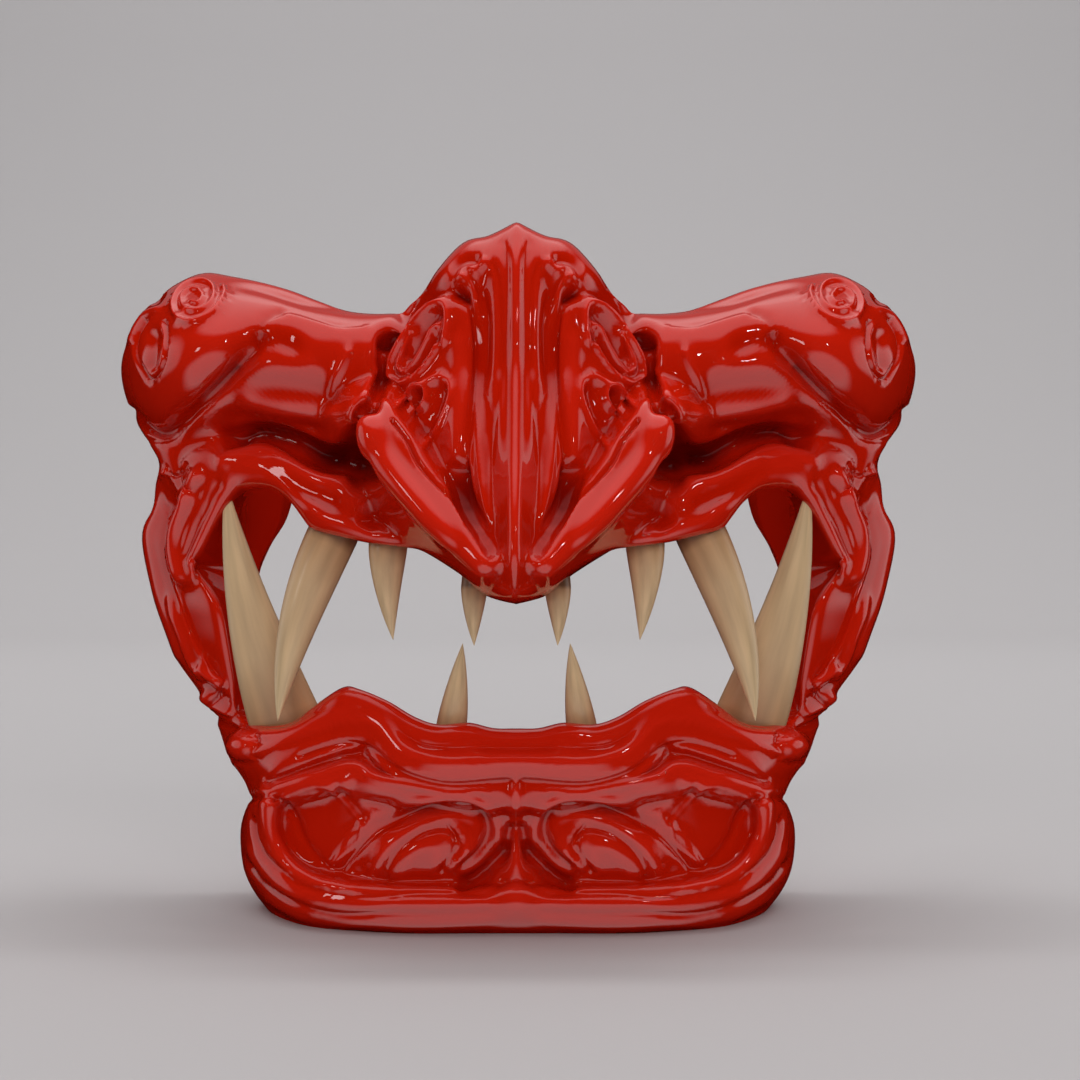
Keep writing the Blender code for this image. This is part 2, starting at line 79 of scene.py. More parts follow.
# Mouth's edge: across, up. Outline: across, up, and the size of the roll there. Rear rim and inner edge of
# the mouth: degrees round the face's room from the front, up.
STATIONS = (
    (0.0, 83.0, 0.0, 180.0, 6, 0, 172, 0, 84),
    (7.5, 85.0, 7.0, 176.5, 6, 6, 168, 6, 86),
    (14.0, 90.5, 14.5, 174.0, 6, 12, 165, 11, 91),
    (23.0, 96.0, 25.5, 161.0, 7, 20, 153, 19, 97),
    (28.5, 97.0, 30.5, 157.0, 8, 25, 149, 23, 99),
    (37.0, 98.0, 41.0, 157.0, 10, 33, 149, 30, 100),
    (46.0, 100.0, 49.0, 159.5, 12, 41, 151, 38, 102),
    (51.5, 101.5, 57.0, 162.5, 13, 50, 153, 43, 104),
    (54.0, 104.5, 64.5, 164.5, 15, 60, 154, 47, 107),
    (57.0, 108.5, 72.0, 166.0, 17, 71, 155, 51, 110),
    (61.0, 111.5, 79.0, 167.0, 19, 83, 153, 57, 112),
    (65.0, 112.0, 85.5, 164.5, 20, 95, 149, 63, 112),
    (68.5, 111.0, 92.0, 159.5, 20, 105, 145, 69, 111),
    (71.5, 108.5, 97.5, 151.5, 20, 112, 140, 75, 108),
    (74.0, 105.0, 100.0, 142.0, 20, 116, 133, 80, 104),
    (76.5, 100.5, 97.0, 130.5, 18, 118, 124, 85, 100),
    (78.5, 96.5, 90.5, 119.5, 14, 118, 115, 88, 96),
    (80.5, 93.0, 90.5, 108.0, 12, 115, 105, 90, 92),
    (79.0, 90.0, 94.0, 100.5, 14, 108, 97, 90, 88),
    (76.5, 86.5, 92.0, 88.0, 14, 101, 87, 88, 84),
    (74.0, 81.5, 89.5, 78.5, 14, 100, 78, 86, 79),
    (72.5, 74.0, 86.0, 69.0, 14, 100, 69, 84, 71),
    (71.0, 63.5, 80.0, 60.5, 14, 100, 60, 82, 61),
    (70.0, 55.0, 75.5, 52.0, 14, 101, 52, 79, 53),
    (64.5, 52.5, 72.9, 44.5, 12, 103, 44, 74, 50),
    (57.0, 53.0, 67.6, 35.5, 14, 104, 36, 64, 50),
    (51.5, 57.0, 69.8, 26.0, 18, 108, 18, 56, 54),
    (43.8, 62.2, 68.6, 14.5, 16, 108, 2, 47, 58),
    (39.3, 62.0, 62.3, 5.0, 12, 98, -4, 40, 58),
    (32.0, 59.0, 53.0, -2.0, 6, 75, -4, 32, 56),
    (25.5, 55.0, 41.0, -2.5, 3, 52, -4, 25, 52),
    (19.5, 53.0, 28.0, -2.5, 3, 33, -4, 19, 50),
    (12.0, 53.5, 16.0, -2.5, 3, 19, -4, 12, 50),
    (5.5, 52.0, 7.0, -2.5, 3, 8, -4, 6, 49),
    (0.0, 52.0, 0.0, -2.5, 3, 0, -4, 0, 49),
)

# Up, depth of the middle, how far the cheeks run back from it, and the power of that curve
FACE = (
    (0, -33, 66, 3.5),
    (25, -34, 66, 3.4),
    (40, -36, 60, 2.8),
    (52, -34, 54, 2.2),
    (84, -36, 46, 2.2),
    (100, -32, 42, 2.2),
    (120, -27, 30, 2.2),
    (145, -22, 17, 2.2),
    (180, -26, 25, 2.2),
)

# Up, half width, middle of the room, and its reach ahead of that and behind it
ROOM = (
    (0, 57, 4, 31, 45),
    (30, 59, 5, 31, 48),
    (50, 66, 8, 33, 62),
    (90, 77, 11, 38, 78),
    (120, 77, 13, 37, 82),
    (150, 76, 14, 36, 82),
    (180, 76, 14, 30, 82),
)

# Up, half width, and the rise of the nose and the depth of its hollow, both in hundredths
NOSE = (
    (70, 5, 0, 0),
    (78, 5, 38, 0),
    (86, 9, 80, 55),
    (94, 12, 100, 80),
    (104, 17, 100, 95),
    (114, 23, 92, 100),
    (127, 30, 80, 95),
    (137, 33, 70, 85),
    (148, 31, 60, 75),
    (160, 27, 48, 50),
    (169, 21, 36, 20),
    (174, 15, 26, 5),
    (180, 8, 14, 0),
)

# Rolls: name, width and end width, rise and end rise in hundredths of the depth, middle line
ROLLS = (
    ("nostril_wing", 6.6, 4.4, 24, 28, ((36.5, 130), (30.5, 123), (21.5, 110), (13, 100), (7.5, 94))),
    ("cheek_beam", 13.0, 17.0, 9, 10, ((31, 144), (43, 143), (57, 144), (71, 147), (83, 146))),
    ("upper_lip", 5.0, 5.5, 5, 4, ((10, 89), (20, 94), (31, 97), (46, 103), (54, 109), (62, 116), (71, 117),
                                  (77, 110), (80, 99))),
    ("lip_body", 7.0, 6.0, 4, 4, ((43, 109), (56, 117), (68, 120), (79, 117))),
    ("side_tongue", 3.0, 2.0, 4, 3, ((83, 109), (84.5, 99), (83, 90))),
    ("side_flap", 4.0, 3.5, 4, 4, ((92, 104), (92, 94), (88, 81), (84, 71), (78, 62))),
    ("lower_gum", 4.6, 4.6, 4, 3, ((66, 48), (54, 50), (49, 55), (42, 58), (34, 57), (25, 52), (10, 50),
                                   (0, 49))),
    ("lower_lip", 5.6, 5.2, 5, 4.5, ((66, 43), (57, 46), (49, 49), (43, 51), (36, 51), (30, 45), (24, 42),
                                     (16, 41), (6, 41), (0, 41))),
    ("chin_fold", 3.4, 3.2, 4, 4, ((60, 35), (49, 38), (41, 40), (35, 37), (20, 35), (8, 34), (0, 34))),
    ("chin_roll", 6.5, 6.0, 7, 5, ((66, 32), (66, 23), (62, 15), (55, 10), (46, 8), (30, 6), (12, 6),
                                   (0, 6))),
    ("chin_swirl", 9.0, 9.0, 3, 3, ((17, 22), (31, 20))),
)

# Grooves: name, width and end width, depth and end depth in hundredths of the depth, middle line
GROOVES = (
    ("cheek_cave", 3.2, 3.0, 9, 7, ((39, 117), (46, 118.5), (54, 121), (63, 124.5), (71, 124.5))),
    ("nose_crease", 2.5, 3.0, 3, 6, ((32, 150), (34, 138), (39, 130), (41, 124), (39, 118))),
    ("knob_crease", 2.2, 2.2, 2, 4, ((65, 149), (70, 143), (78, 135), (85, 130), (89, 127), (97, 131))),
    ("brow_flute", 1.8, 2.4, 2, 2, ((8, 166), (8, 140), (6, 118), (4, 98))),
    ("chin_middle", 2.2, 2.2, 3, 2, ((4, 20), (8, 14), (12, 12))),
)

# Carving: name, cut, width and end width, height or depth at its start and end in millimetres, line
NOSE_CARVING = (
    ("crest", "ridge", 2.3, 2, 1.2, 1.0, ((0, 172.4), (0, 159.8), (0, 134.5), (0, 109.2), (0, 91.5))),
    ("crest_side", "cut", 1, 1, 0.9, 0.1, ((3.3, 174.9), (2.5, 169.4), (2.3, 159.8), (2.5, 145.9),
        (3, 131.7), (3.3, 121.8))),
    ("first_line", "cut", 1, 1, 1.1, 0.3, ((7.5, 171.4), (5.5, 168.4), (4.3, 164.3), (3.8, 156.2),
        (3.8, 145.9), (4.5, 136.8), (5.5, 127.1), (6.5, 117.5), (6.3, 107.9), (4.5, 100.4))),
    ("second_line", "cut", 1.1, 1, 1.6, 0.4, ((13.1, 167.8), (10.6, 165.1), (8.6, 161.5), (7.5, 156.7),
        (7.3, 149.6), (7.5, 143.3), (8.6, 136.8), (9.6, 131.7), (10.6, 125.6), (10.6, 118), (9.1, 107.9),
        (6.3, 100.4))),
    ("third_line", "cut", 1.5, 1.3, 2.6, 1.6, ((16.1, 162.3), (12.8, 160.3), (10.8, 156.2), (9.8, 151.2),
        (9.6, 144.6), (10.1, 138), (11.1, 132), (12.1, 126.4), (12.8, 121.3), (13.3, 116.8))),
    ("side_flute", "roll", 3, 3, 0.9, 0.9, ((14.6, 149.6), (14.1, 138.3), (14.8, 128.2), (15.8, 117.3))),
    ("hook_hollow", "hollow", 1.5, 1, 1.8, 1.2, ((10.8, 170.6), (13.3, 170.4), (15.6, 168.6),
        (16.6, 166.1))),
    ("hook_ridge", "roll", 1.5, 1.3, 0.9, 0.7, ((7.5, 170.4), (9.6, 168.4), (12.6, 166.6), (16.1, 164.3))),
    ("brow_valley", "hollow", 1.8, 2, 2.6, 2.4, ((13.6, 161.5), (15.6, 162.8), (18.1, 163.3),
        (20.9, 162.5), (23.6, 160.8), (25.7, 158.7), (27.7, 156.2), (30.7, 151.9), (32.7, 149.1))),
    ("upper_loop", "roll", 1.1, 1, 2.0, 1.6, ((17.9, 148.9), (17.1, 153.4), (17.4, 157.7), (19.1, 159.5),
        (21.9, 158.5), (24.7, 156), (27.4, 152.4), (29.7, 148.4), (31.4, 144.3), (31.7, 140.8),
        (30.2, 138.8), (27.9, 139), (25.2, 140.8), (22.9, 143.3), (21.1, 145.9), (19.9, 148.4))),
    ("upper_loop_arm", "roll", 0.9, 0.8, 1.4, 1.0, ((19.6, 153.4), (20.9, 152.7), (22.1, 149.6),
        (23.9, 146.4), (25.9, 143.1), (27.7, 141.6), (29.2, 142.3), (29.2, 144.6), (27.9, 148.1),
        (26.4, 151.2))),
    ("upper_loop_hollow", "hollow", 1.3, 1, 2.4, 1.8, ((20.1, 156.2), (22.9, 153.4), (24.7, 149.4),
        (26.7, 145.3))),
    ("upper_loop_low", "hollow", 0.8, 0.8, 1.4, 1.2, ((20.1, 150.2), (21.6, 146.9), (23.6, 143.6),
        (26.2, 141.1))),
    ("lower_loop", "roll", 1.2, 1, 1.6, 1.0, ((29.7, 133.5), (25.9, 136.8), (22.4, 138.8), (19.4, 140.3),
        (17.1, 139.3), (16.4, 136.5), (17.1, 133.7), (18.6, 130.2), (20.4, 126.4), (22.9, 123.1))),
    ("lower_loop_hollow", "hollow", 1.8, 1.5, 1.8, 1.2, ((19.1, 136.5), (20.4, 131.7), (22.4, 127.1))),
    ("ring", "roll", 0.8, 0.8, 1.4, 1.4, ((22.6, 137.5), (24.4, 137.5), (25.9, 135.5), (26.9, 132.7),
        (25.7, 131.2), (23.6, 132.5), (22.4, 135), (22.6, 137.5))),
    ("ring_pit", "hollow", 0.8, 0.8, 1.8, 1.8, ((24.2, 135.5), (24.9, 133.5))),
    ("wing_valley", "hollow", 2, 1.3, 3.0, 1.4, ((14.3, 116.8), (12.8, 110.2), (10.1, 104.1), (7.3, 99.1),
        (5.5, 96.1))),
    ("wing_edge", "cut", 1, 0.8, 1.4, 0.9, ((30.7, 129.4), (26.9, 124.4), (24.2, 118.6), (19.1, 113),
        (14.8, 109.2), (10.6, 101.6), (6.5, 95.8))),
    ("wing_swell", "roll", 4.3, 3.3, 3.6, 2.4, ((36.7, 127.9), (34.7, 122.3), (29.7, 115.3),
        (23.1, 107.2), (16.9, 99.1))),
    ("cheek_crease", "hollow", 1.1, 1.5, 1.6, 2.2, ((31.7, 150.9), (33.2, 145.9), (33.7, 140.8),
        (35.2, 135.5), (37.7, 131.2), (40.3, 126.9), (41.3, 121.8))),
)

CHEEK_CARVING = (
    ("beam_fold", "fold", 1, 1, 0.8, 0.9, ((64.7, 154.2), (61.4, 156.5), (56.6, 156.5), (49.6, 154.4),
        (44.3, 152.9), (38.7, 153.2))),
    ("knob_crease", "cut", 1.3, 1.5, 1.5, 1.9, ((59.4, 156.7), (62.9, 155), (64.7, 151.9), (65.4, 147.9),
        (68.2, 144.6), (72.2, 140.5), (76.2, 136.5), (80.3, 132.5), (84, 129.2), (87.5, 126.6),
        (90.8, 126.4), (94.1, 128.4), (97.4, 132))),
    ("knob_second", "cut", 1.1, 1.1, 0.9, 0.9, ((70.2, 142.6), (73.5, 137.8), (77.5, 133.5),
        (81.5, 130.2), (84.8, 126.4), (88.1, 124.4), (92.6, 124.4))),
    ("lens", "hollow", 2.5, 2.3, 1.7, 1.5, ((56.4, 149.1), (60.1, 150.2), (62.9, 150.4))),
    ("lens_ledge", "roll", 2, 2, 1.0, 0.8, ((51.3, 144.1), (57.1, 143.1), (62.9, 143.3), (67.4, 141.8))),
    ("beam_hollow", "hollow", 3, 3, 1.2, 0.8, ((48.8, 137), (57.1, 138), (65.9, 138.5))),
    ("beam_ridge", "roll", 3.5, 3, 1.4, 1.2, ((46.8, 130.9), (53.3, 132.2), (61.4, 133.5), (67.4, 135))),
    ("near_ridge", "roll", 1.3, 1.3, 0.8, 0.7, ((42.3, 146.6), (45, 141.1), (47.3, 136))),
    ("small_ridge", "roll", 1.5, 1.5, 1.0, 1.0, ((35.2, 142.1), (37, 138.5), (38.2, 134.5))),
    ("crease_low", "hollow", 2.3, 2.3, 1.6, 1.8, ((37.7, 131.4), (40.8, 126.4), (43.3, 122.9))),
    ("knob_spiral", "roll", 0.9, 0.6, 1.2, 0.8, ((74, 163), (73.7, 161.3), (74.7, 159), (76.7, 156.5),
        (79.7, 154.7), (82.8, 154.2), (85.5, 155.7), (86.5, 158.5), (85.3, 161.8), (82.5, 164.1),
        (79, 164.6), (76.5, 163), (76.5, 160), (78.5, 157.7), (81.5, 157), (83.8, 158.2), (84.3, 160.5),
        (82.5, 162.3), (80.3, 162.3), (79, 160.8), (80, 159), (81.8, 159.3))),
    ("knob_tear", "cut", 0.9, 0.9, 1.6, 1.2, ((88.6, 154.2), (88.6, 148.4), (89.3, 143.6), (91.1, 140.5),
        (92.6, 139.8), (94.3, 142.1), (96.1, 146.4), (95.8, 150.9), (93.6, 154.7))),
    ("knob_tear_hollow", "hollow", 1.8, 1.3, 1.2, 1.4, ((91.1, 150.9), (91.6, 147.1), (92.1, 143.1))),
    ("knob_tear_lip", "roll", 1, 1, 0.9, 0.7, ((90.6, 157.5), (93.1, 156.5), (95.6, 153.4), (97.4, 149.6))),
    ("knob_notch", "hollow", 1, 1, 1.0, 1.0, ((90.1, 160.8), (91.3, 159.5))),
    ("curl", "cut", 1, 0.8, 1.0, 0.8, ((83.5, 118.3), (85, 115.8), (87, 115.3), (88.1, 117.3))),
    ("cave", "hollow", 2.3, 1.5, 3.2, 2.4, ((36.7, 117.8), (41.8, 119.1), (47, 119.8), (51.3, 121.8),
        (56.4, 124.4), (61.4, 125.9), (65.9, 126.1), (69.4, 124.1))),
)

LIP_CARVING = (
    ("gum_upper", "roll", 2, 1.8, 1.4, 1.4, ((43.3, 113.8), (48.8, 114.3), (53.8, 116.3), (58.9, 119.8),
        (63.9, 122.1), (69.7, 121.3), (74.7, 118.8))),
    ("gum_low", "roll", 2, 1.8, 1.2, 1.2, ((30.7, 99.1), (37, 101.1), (43.3, 103.1), (49.3, 105.2))),
    ("gum_mid", "hollow", 2, 2, 1.0, 1.0, ((45.8, 109.2), (52.1, 111.2), (56.4, 113.8), (62.1, 116.3))),
    ("gum_dimple", "hollow", 1.5, 1.3, 2.0, 1.6, ((36.2, 102.6), (38.7, 103.6))),
    ("gum_fold", "cut", 0.8, 0.8, 0.6, 0.6, ((45.8, 110), (49.8, 111.2), (53.8, 110.7))),
    ("gum_bulge", "roll", 2.3, 2.3, 1.4, 1.0, ((50.8, 107.2), (53.6, 108.7))),
    ("tongue_outer", "roll", 2, 1.5, 2.4, 1.8, ((80.5, 115.8), (83.5, 109.2), (85.8, 102.1), (86.3, 95.6),
        (84.8, 89.5))),
    ("tongue_valley", "cut", 1.3, 1, 1.6, 1.2, ((75, 113.8), (78.2, 107.2), (81.5, 100.6), (83.8, 95))),
    ("tongue_inner", "roll", 1.8, 1.5, 1.2, 1.0, ((71.7, 111.7), (75.5, 105.7), (79, 99.1), (81.8, 93.5))),
    ("side_recess", "hollow", 2, 2, 1.8, 1.2, ((86.5, 107.9), (89.3, 101.6), (89.1, 92.8), (87, 83.9))),
    ("flap_edge", "roll", 1.5, 1.5, 1.0, 0.8, ((91.1, 106.2), (93.3, 101.1), (92.6, 94), (90.3, 84.4),
        (87.5, 76.3), (85.3, 70))),
    ("flap_inner", "roll", 1.3, 1.3, 1.2, 1.0, ((88.1, 84.4), (84.3, 74.8), (82.5, 69.3), (79.5, 64.2))),
    ("back_lobe", "roll", 1.5, 1.3, 1.5, 1.0, ((88.6, 116.3), (90.1, 111.7), (90.1, 107.2))),
)

JAW_CARVING = (
    ("side_roll_high", "roll", 1.5, 1.3, 1.6, 1.2, ((79.5, 66.7), (77, 64.5), (74, 62.7))),
    ("side_roll_low", "roll", 1.5, 1.3, 1.8, 1.2, ((78.5, 59.9), (76, 57.6), (72.5, 55.6))),
    ("side_cut", "cut", 1, 1, 1.4, 1.2, ((79.5, 63.2), (76.5, 60.9), (73, 58.9))),
    ("side_cut_low", "cut", 1, 1, 1.4, 1.2, ((77.5, 55.1), (75, 53.1), (70.9, 51.6))),
    ("corner_knob", "roll", 4.3, 4.3, 3.0, 3.0, ((68.7, 47.5), (69.2, 47))),
    ("corner_ring", "cut", 1, 1, 1.0, 1.0, ((64.7, 49), (65.7, 45.5), (68.4, 43), (71.7, 44))),
    ("fold_a", "fold", 1.8, 1.5, 2.2, 1.8, ((0, 41.5), (5.8, 41.5), (16.6, 41.2), (23.9, 42.7),
        (29.4, 45.2), (33.5, 49.3), (36.7, 52.1), (42.8, 52.3), (48.8, 50.1), (57.6, 46.8), (65.2, 44))),
    ("groove_b", "cut", 1.3, 1.3, 1.3, 1.2, ((0, 37.9), (5.8, 37.9), (16.6, 37.2), (25.9, 39.2),
        (31.4, 42), (36.2, 46), (42.8, 47.8), (48.8, 46.5), (54.3, 44.7))),
    ("fold_c", "fold", 1.3, 1.3, 1.5, 1.3, ((8.6, 34.6), (20.6, 34.9), (35.5, 37.9), (40.8, 41),
        (48.8, 38.7), (59.6, 35.1))),
    ("gum_lower", "roll", 2.3, 2, 0.8, 0.7, ((10.6, 46.5), (20.6, 48), (30.7, 52.6), (37.7, 57.1),
        (45.8, 55.6), (55.8, 50.6), (63.4, 49.5))),
    ("gum_bump", "roll", 2, 2, 1.6, 1.6, ((14.8, 51.1), (15.8, 50.8))),
    ("diamond_top", "fold", 1, 1, 1.4, 1.4, ((45.8, 18.7), (39.2, 26), (47.5, 35.9), (57.1, 33.9))),
    ("diamond_strip", "cut", 1, 1, 1.0, 1.0, ((44.8, 36.4), (41.3, 32.4), (37.7, 27.8))),
    ("strip", "roll", 1.5, 1.5, 1.1, 1.0, ((42.8, 37.7), (39.2, 34.1), (35.2, 30.3))),
    ("lobe_top", "cut", 1.3, 1.3, 1.6, 1.2, ((70.9, 33.6), (67.4, 33.9), (63.6, 34.1), (60.1, 33.4))),
    ("lobe_crease", "cut", 1.3, 1, 1.6, 1.0, ((60.9, 33.9), (57.9, 32.1), (55.6, 29.1), (54.1, 24.8),
        (51.1, 20.2), (47.5, 16.9), (43.3, 15.7))),
    ("lobe_ridge", "roll", 2.3, 2, 1.0, 0.8, ((62.9, 32.9), (62.4, 27.3), (59.4, 21.2), (54.8, 15.7),
        (48.8, 12.1), (40.8, 10.6))),
    ("swirl_rim", "roll", 1.8, 1.5, 0.8, 0.8, ((5.5, 16.2), (4.3, 22), (4.8, 27.8), (7, 31.3),
        (11.8, 33.6), (16.6, 34.1), (21.6, 33.6), (28.2, 32.4), (34.7, 29.8), (40.8, 24.8), (44.8, 19.2))),
    ("swirl_groove", "cut", 1.3, 1.3, 1.5, 1.4, ((13.6, 16.7), (9.8, 20), (7.3, 23.8), (7.3, 28.3),
        (9.6, 31.1), (14.1, 31.9), (21.1, 31.6), (28.2, 29.3), (34.7, 25.5), (39.5, 21.2), (43.3, 16.7))),
    ("swirl_arc", "roll", 1.8, 1.5, 0.8, 0.8, ((16.6, 16.7), (12.1, 20.7), (10.1, 24.3), (10.6, 27.8),
        (13.6, 29.3), (18.6, 29.1), (23.6, 27.8), (28.7, 24.8), (33.2, 20.2), (35.7, 15.2))),
    ("swirl_arc_groove", "cut", 1.3, 1.3, 1.3, 1.2, ((19.4, 15.2), (16.1, 18.7), (15.1, 21.7),
        (15.6, 24.8), (18.1, 26.3), (22.1, 25.8), (25.9, 23.8), (29.7, 20.5), (32.5, 16.2), (32.7, 13.1))),
    ("swirl_core", "roll", 2, 1.8, 0.7, 0.6, ((20.1, 15.2), (19.6, 19.2), (20.6, 21.7), (23.6, 21.2),
        (27.2, 18.2), (29.2, 14.7))),
    ("swirl_comma", "cut", 0.8, 0.8, 1.1, 0.9, ((17.1, 27.3), (15.1, 25), (13.8, 21.7), (14.8, 18.7))),
    ("middle_column", "roll", 1.8, 1.5, 1.6, 1.2, ((0, 37.4), (0, 28.8))),
    ("middle_slit", "hollow", 1.3, 1.3, 2.2, 1.2, ((1.5, 26), (2.8, 21.7), (5.3, 17.7), (9.1, 14.4),
        (13.6, 11.9))),
    ("middle_foot", "roll", 2, 4, 1.2, 0.8, ((0, 20.7), (0, 8.1))),
    ("u_groove_high", "cut", 1, 1, 0.4, 1.8, ((2.5, 13.1), (7.3, 9.9), (15.6, 9.9), (25.9, 9.9),
        (35.7, 9.1), (45.8, 10.1), (54.6, 12.1), (58.9, 15.2), (63.4, 19.2), (65.9, 23.8), (66.4, 28.3))),
    ("u_ridge_high", "roll", 1.5, 1.5, 0.6, 0.6, ((5.5, 7.6), (15.6, 7.3), (28.2, 7.3), (40.8, 6.6),
        (50.8, 8.1), (58.9, 11.4), (63.9, 15.7), (67.4, 20.7))),
    ("u_groove_low", "cut", 1, 1, 0.3, 1.6, ((6.8, 5.1), (18.1, 4.6), (30.7, 4.8), (43.3, 4.3),
        (51.8, 5.8), (58.9, 9.1), (64.7, 13.1), (67.4, 16.7))),
    ("u_ridge_low", "roll", 1.5, 1.5, 0.5, 0.5, ((5.5, 2.8), (20.6, 2), (35.7, 2.3), (49.6, 2),
        (57.9, 5.6), (63.4, 8.8))),
)


def through(values, at):
    """Smooth values through a column's rows, read at row numbers that need not be whole."""
    last = len(values) - 1
    low = np.clip(np.floor(at).astype(int), 0, last - 1)
    share = at - low
    before, after = values[np.maximum(low - 1, 0)], values[np.minimum(low + 2, last)]
    a, b = values[low], values[low + 1]
    return 0.5 * (
        2 * a
        + (b - before) * share
        + (2 * before - 5 * a + 4 * b - after) * share**2
        + (3 * (a - b) + after - before) * share**3
    )


def column(rows, index):
    return np.array([row[index] for row in rows], float)


def by_height(rows, index, z, soft=3.0):
    """A column of a table read at a height, with the table's corners rounded."""
    total = 0
    for step in (-1.0, -0.5, 0.0, 0.5, 1.0):
        total = total + np.interp(z + step * soft, column(rows, 0), column(rows, index))
    return total / 5


def smooth_line(points, steps=5):
    points = np.array(points, float)
    at = np.linspace(0, len(points) - 1, (len(points) - 1) * steps + 1)
    return np.stack([through(points[:, 0], at), through(points[:, 1], at)], axis=1)


def along(x, z, line):
    """Distance from a line, positive on its left, and the share of its length that lies behind."""
    best = np.full(x.shape, 1e9)
    share = np.zeros(x.shape)
    side = np.ones(x.shape)
    for i, (start, end) in enumerate(zip(line[:-1], line[1:])):
        run = end - start
        t = np.clip(((x - start[0]) * run[0] + (z - start[1]) * run[1]) / max(run @ run, 1e-12), 0, 1)
        distance = np.hypot(x - start[0] - t * run[0], z - start[1] - t * run[1])
        nearer = distance < best
        turn = run[0] * (z - start[1]) - run[1] * (x - start[0])
        best = np.where(nearer, distance, best)
        share = np.where(nearer, (i + t) / (len(line) - 1), share)
        side = np.where(nearer, np.sign(turn), side)
    return best, share, side


def larger(a, b, blend):
    return 0.5 * (a + b + np.sqrt((a - b) ** 2 + blend**2))


def sight(x, y, z):
    spread = 1 + y / sight_length
    return np.stack([x * spread, y, eye_level + (z - eye_level) * spread], axis=-1)


def room_sizes(z):
    level = z / up
    return (
        by_height(ROOM, 1, level) * across - wall,
        by_height(ROOM, 2, level) * back,
        by_height(ROOM, 3, level) * back - wall,
        by_height(ROOM, 4, level) * back,
    )


def room(turn, z):
    """The face side of the wall, turned round from the front, with the hollow of the nose."""
    half, middle, ahead, behind = room_sizes(z)
    x = half * np.sin(turn)
    y = middle - np.where(turn < math.pi / 2, ahead, behind) * np.cos(turn)
    width = nose_hollow * by_height(NOSE, 1, z / up) * across
    hollow = nose_room * by_height(NOSE, 3, z / up) / 100
    y = y - hollow * np.clip(1 - (x / np.maximum(width, nose_room_edge)) ** 2, 0, 1) ** 1.5
    return np.stack([x, y, z], axis=-1)


def main_forms(x, z):
    """How far nose, cheeks, lips and chin stand out from the face at a place in the drawing."""
    half = by_height(NOSE, 1, z)
    share = np.clip(x / half, 0, 1)
    rise = nose_rise * by_height(NOSE, 2, z) / 100 * (1 - nose_slope * share) * (1 - share**5) ** 0.6
    for _, width, end_width, top, end_top, line in ROLLS:
        distance, run, _ = along(x, z, smooth_line(line))
        wide = width + (end_width - width) * run
        high = (top + (end_top - top) * run) * back
        past = np.clip(distance / wide, 0, 1)
        crown = wide * across * (1 - np.sqrt(1 - past**2))
        flank = roll_flank * across * np.maximum(distance - crown_edge * wide, 0)
        rise = larger(rise, high - roll_crown * crown - flank, roll_blend)
    distance, _, _ = along(x, z, np.array(knob_line, float))
    rise = larger(rise, knob_rise * (1 - (distance / knob_half) ** 2), knob_blend)
    for _, width, end_width, deep, end_deep, line in GROOVES:
        distance, run, _ = along(x, z, smooth_line(line))
        wide = width + (end_width - width) * run
        rise = rise - (deep + (end_deep - deep) * run) * back * np.exp(-((distance / wide) ** 2))
    return rise


def front(station, share):
    """The outer side of the wall in front, from the mouth's edge to the outline."""
    mouth_x, mouth_z = through(column(STATIONS, 0), station), through(column(STATIONS, 1), station)
    out_x, out_z = through(column(STATIONS, 2), station), through(column(STATIONS, 3), station)
    x = mouth_x + (out_x - mouth_x) * share
    z = mouth_z + (out_z - mouth_z) * share
    reach = np.hypot((out_x - mouth_x) * across, (out_z - mouth_z) * up)
    y = by_height(FACE, 1, z) * back + by_height(FACE, 2, z) * back * (x / 100) ** by_height(FACE, 3, z)
    y = y - main_forms(x, z)
    roll = through(column(STATIONS, 4), station) * back
    y = y + roll * (1 - np.sqrt(1 - np.clip(1 - (1 - share) * reach / roll, 0, 1) ** 2))
    y = y + lip_roll * (1 - np.sqrt(1 - np.clip(1 - share * reach / lip_roll, 0, 1) ** 2))
    level = eye_level + (z * up - eye_level) * (1 + y / sight_length)
    half = room_sizes(level)[0]
    turn = np.clip(x * across * (1 + y / sight_length) / half, 0, 1)
    behind = room(np.arcsin(turn), level)[..., 1] - least_wall
    y = np.where(turn < side_turn, -larger(-y, -behind, wall_blend), y)
    return sight(x * across, y, z * up), x, z


rear_step = 1e-3
rear_turn = math.radians(60)
rear_turn_run = math.radians(40)
rear_lead = 0.45
rear_lead_up = 0.3
rear_bulge = 0.55
rear_bulge_most = 0.5


def rear(station, share):
    """The outer side behind the outline: it turns back from it and runs to the rear rim."""
    start = front(station, np.ones_like(share))[0]
    turn = np.radians(through(column(STATIONS, 5), station))
    z = through(column(STATIONS, 6), station) * up
    inner = room(turn, z)
    tangent = room(turn + rear_step, z) - room(turn - rear_step, z)
    tangent /= np.linalg.norm(tangent, axis=-1, keepdims=True)
    end = inner + rear_rim_width * np.stack([tangent[..., 1], -tangent[..., 0], 0 * turn], axis=-1)
    gap = np.linalg.norm(end - start, axis=-1, keepdims=True)
    roll = (through(column(STATIONS, 4), station) * back)[..., None]
    beside = np.clip((turn - rear_turn) / rear_turn_run, 0, 1)[..., None]
    lead = -tangent * beside * rear_lead + np.array([0, 0, 1]) * (1 - beside) * rear_lead_up
    behind = start + np.array([0, 1, 0]) * np.minimum(rear_bulge * roll, rear_bulge_most * gap)
    ahead = end + lead * gap
    t = share[..., None]
    return start * (1 - t) ** 3 + 3 * behind * t * (1 - t) ** 2 + 3 * ahead * t**2 * (1 - t) + end * t**3


